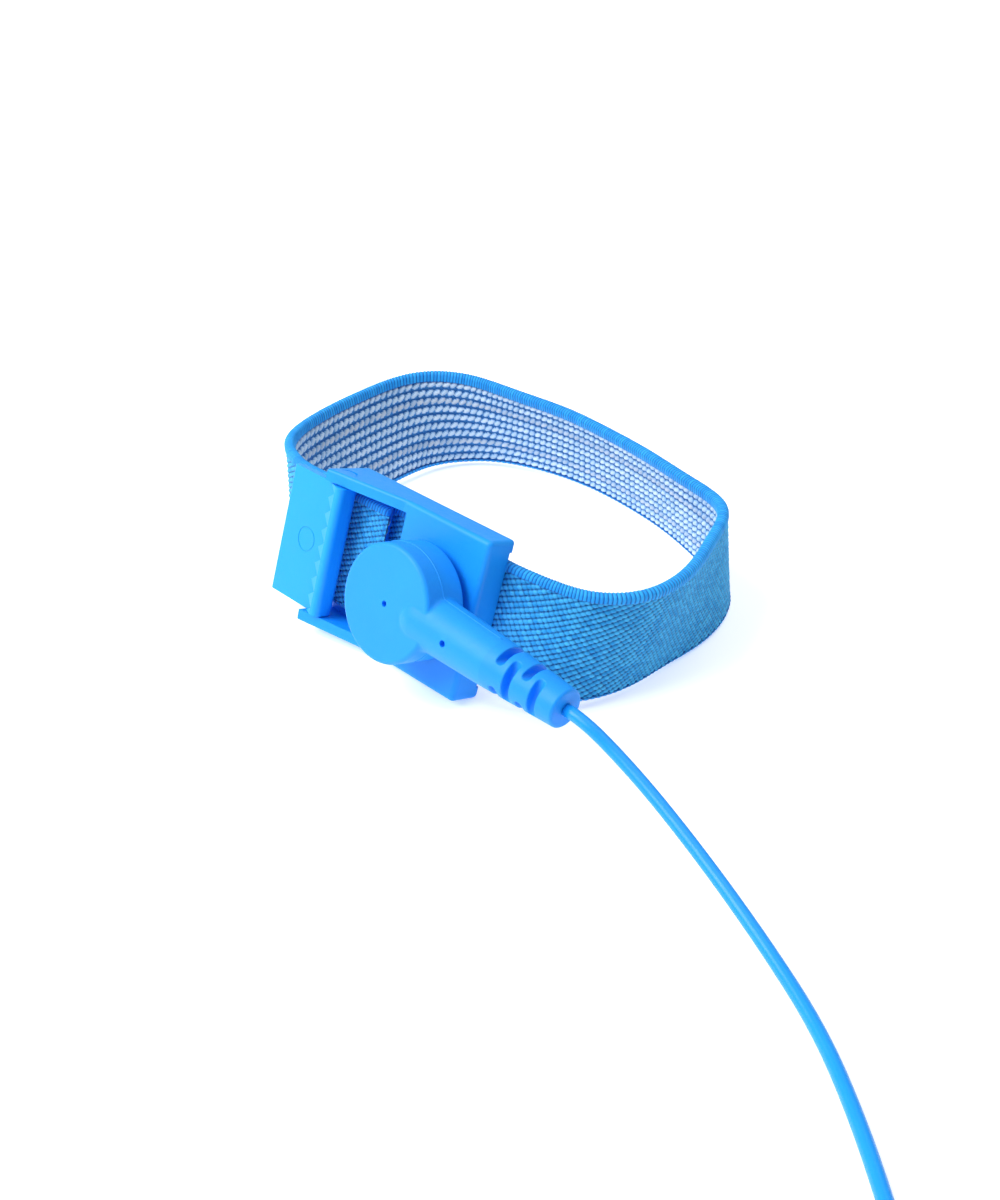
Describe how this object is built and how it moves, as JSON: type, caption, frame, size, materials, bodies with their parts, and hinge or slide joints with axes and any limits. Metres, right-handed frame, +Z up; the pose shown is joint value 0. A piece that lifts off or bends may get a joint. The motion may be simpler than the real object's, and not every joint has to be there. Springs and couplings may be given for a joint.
{
  "type": "anti-static wrist strap",
  "caption": "Knitted elastic wrist strap with a clamp-lever buckle, a swivelling cord head on a press stud, a thin earthing cord and a plug held in a spring clip.",
  "frame": {"origin": "under the middle of the strap, buckle and cord head, on the surface that the strap stands on", "axes": "+Z up, +X along the buckle from its lever end to the cord head's neck, -Y towards the buckle's front; the buckle leans back 18.5 degrees"},
  "size_m": [0.1927, 0.1844, 0.0282],
  "materials": {
    "knit_elastic": "ribbed elastic knit, matt, with a silvered inner side",
    "buckle_plastic": "satin moulding, slightly translucent",
    "lever_plastic": "satin moulding, slightly translucent",
    "head_plastic": "soft satin moulding, slightly translucent",
    "relief_plastic": "soft satin moulding",
    "cord_sheath": "smooth, slightly glossy",
    "contact_steel": "fine brushed",
    "snap_nickel": "nickel plated, bright",
    "spring_wire": "drawn wire",
    "tinned_tag": "tinned",
    "resistor_coating": "lacquered",
    "shrink_tube": "matt",
    "plug_plastic": "satin moulding",
    "clip_steel": "nickel plated, satin",
    "boot_vinyl": "dipped vinyl, soft gloss"
  },
  "bodies": {
    "strap": {"elastic_band": "knit_elastic", "buckle_frame": "buckle_plastic", "contact_plate": "contact_steel", "snap_stud": "snap_nickel", "stud_rivet": "snap_nickel"},
    "lever": {"clamp_lever": "lever_plastic"},
    "cord_set": {"socket_spring": "spring_wire", "cord": "cord_sheath", "cord_coil": "cord_sheath", "cord_plug_lead": "cord_sheath", "plug_housing": "plug_plastic", "plug_pin": "snap_nickel", "plug_spring": "snap_nickel", "clip_lower_jaw": "clip_steel", "clip_pivot_pin": "clip_steel", "clip_spring": "spring_wire", "clip_lower_boot": "boot_vinyl"},
    "snap_head": {"head_cover": "head_plastic", "head_base": "head_plastic", "snap_socket": "snap_nickel", "solder_tag": "tinned_tag", "resistor_body": "resistor_coating", "resistor_leads": "spring_wire", "shrink_sleeve": "shrink_tube", "cord_crimp": "tinned_tag", "cord_inner_end": "cord_sheath", "strain_relief": "relief_plastic"},
    "clip_top": {"clip_upper_jaw": "clip_steel", "clip_upper_boot": "boot_vinyl"}
  },
  "joints": [
    {"name": "lever_hinge", "type": "hinge", "parent": "strap", "child": "lever", "pos_m": [-0.00975, -0.02914, 0.0148], "axis": [0, 0.3173, 0.9483], "range_deg": [0, 180]},
    {"name": "snap_pull_off", "type": "slide", "parent": "strap", "child": "cord_set", "axis": [0, -0.9483, 0.3173], "range_m": [0, 0.005]},
    {"name": "snap_swivel", "type": "hinge", "parent": "cord_set", "child": "snap_head", "pos_m": [0.01265, -0.0281, 0.01445], "axis": [0, -0.9483, 0.3173], "range_deg": [-10, 120]},
    {"name": "clip_jaw_hinge", "type": "hinge", "parent": "cord_set", "child": "clip_top", "pos_m": [0.07772, -0.13251, 0.0055], "axis": [-0.3746, 0.9272, 0], "range_deg": [0, 12], "stiffness_Nm_per_rad": 0.05, "springref_deg": -57.3}
  ]
}
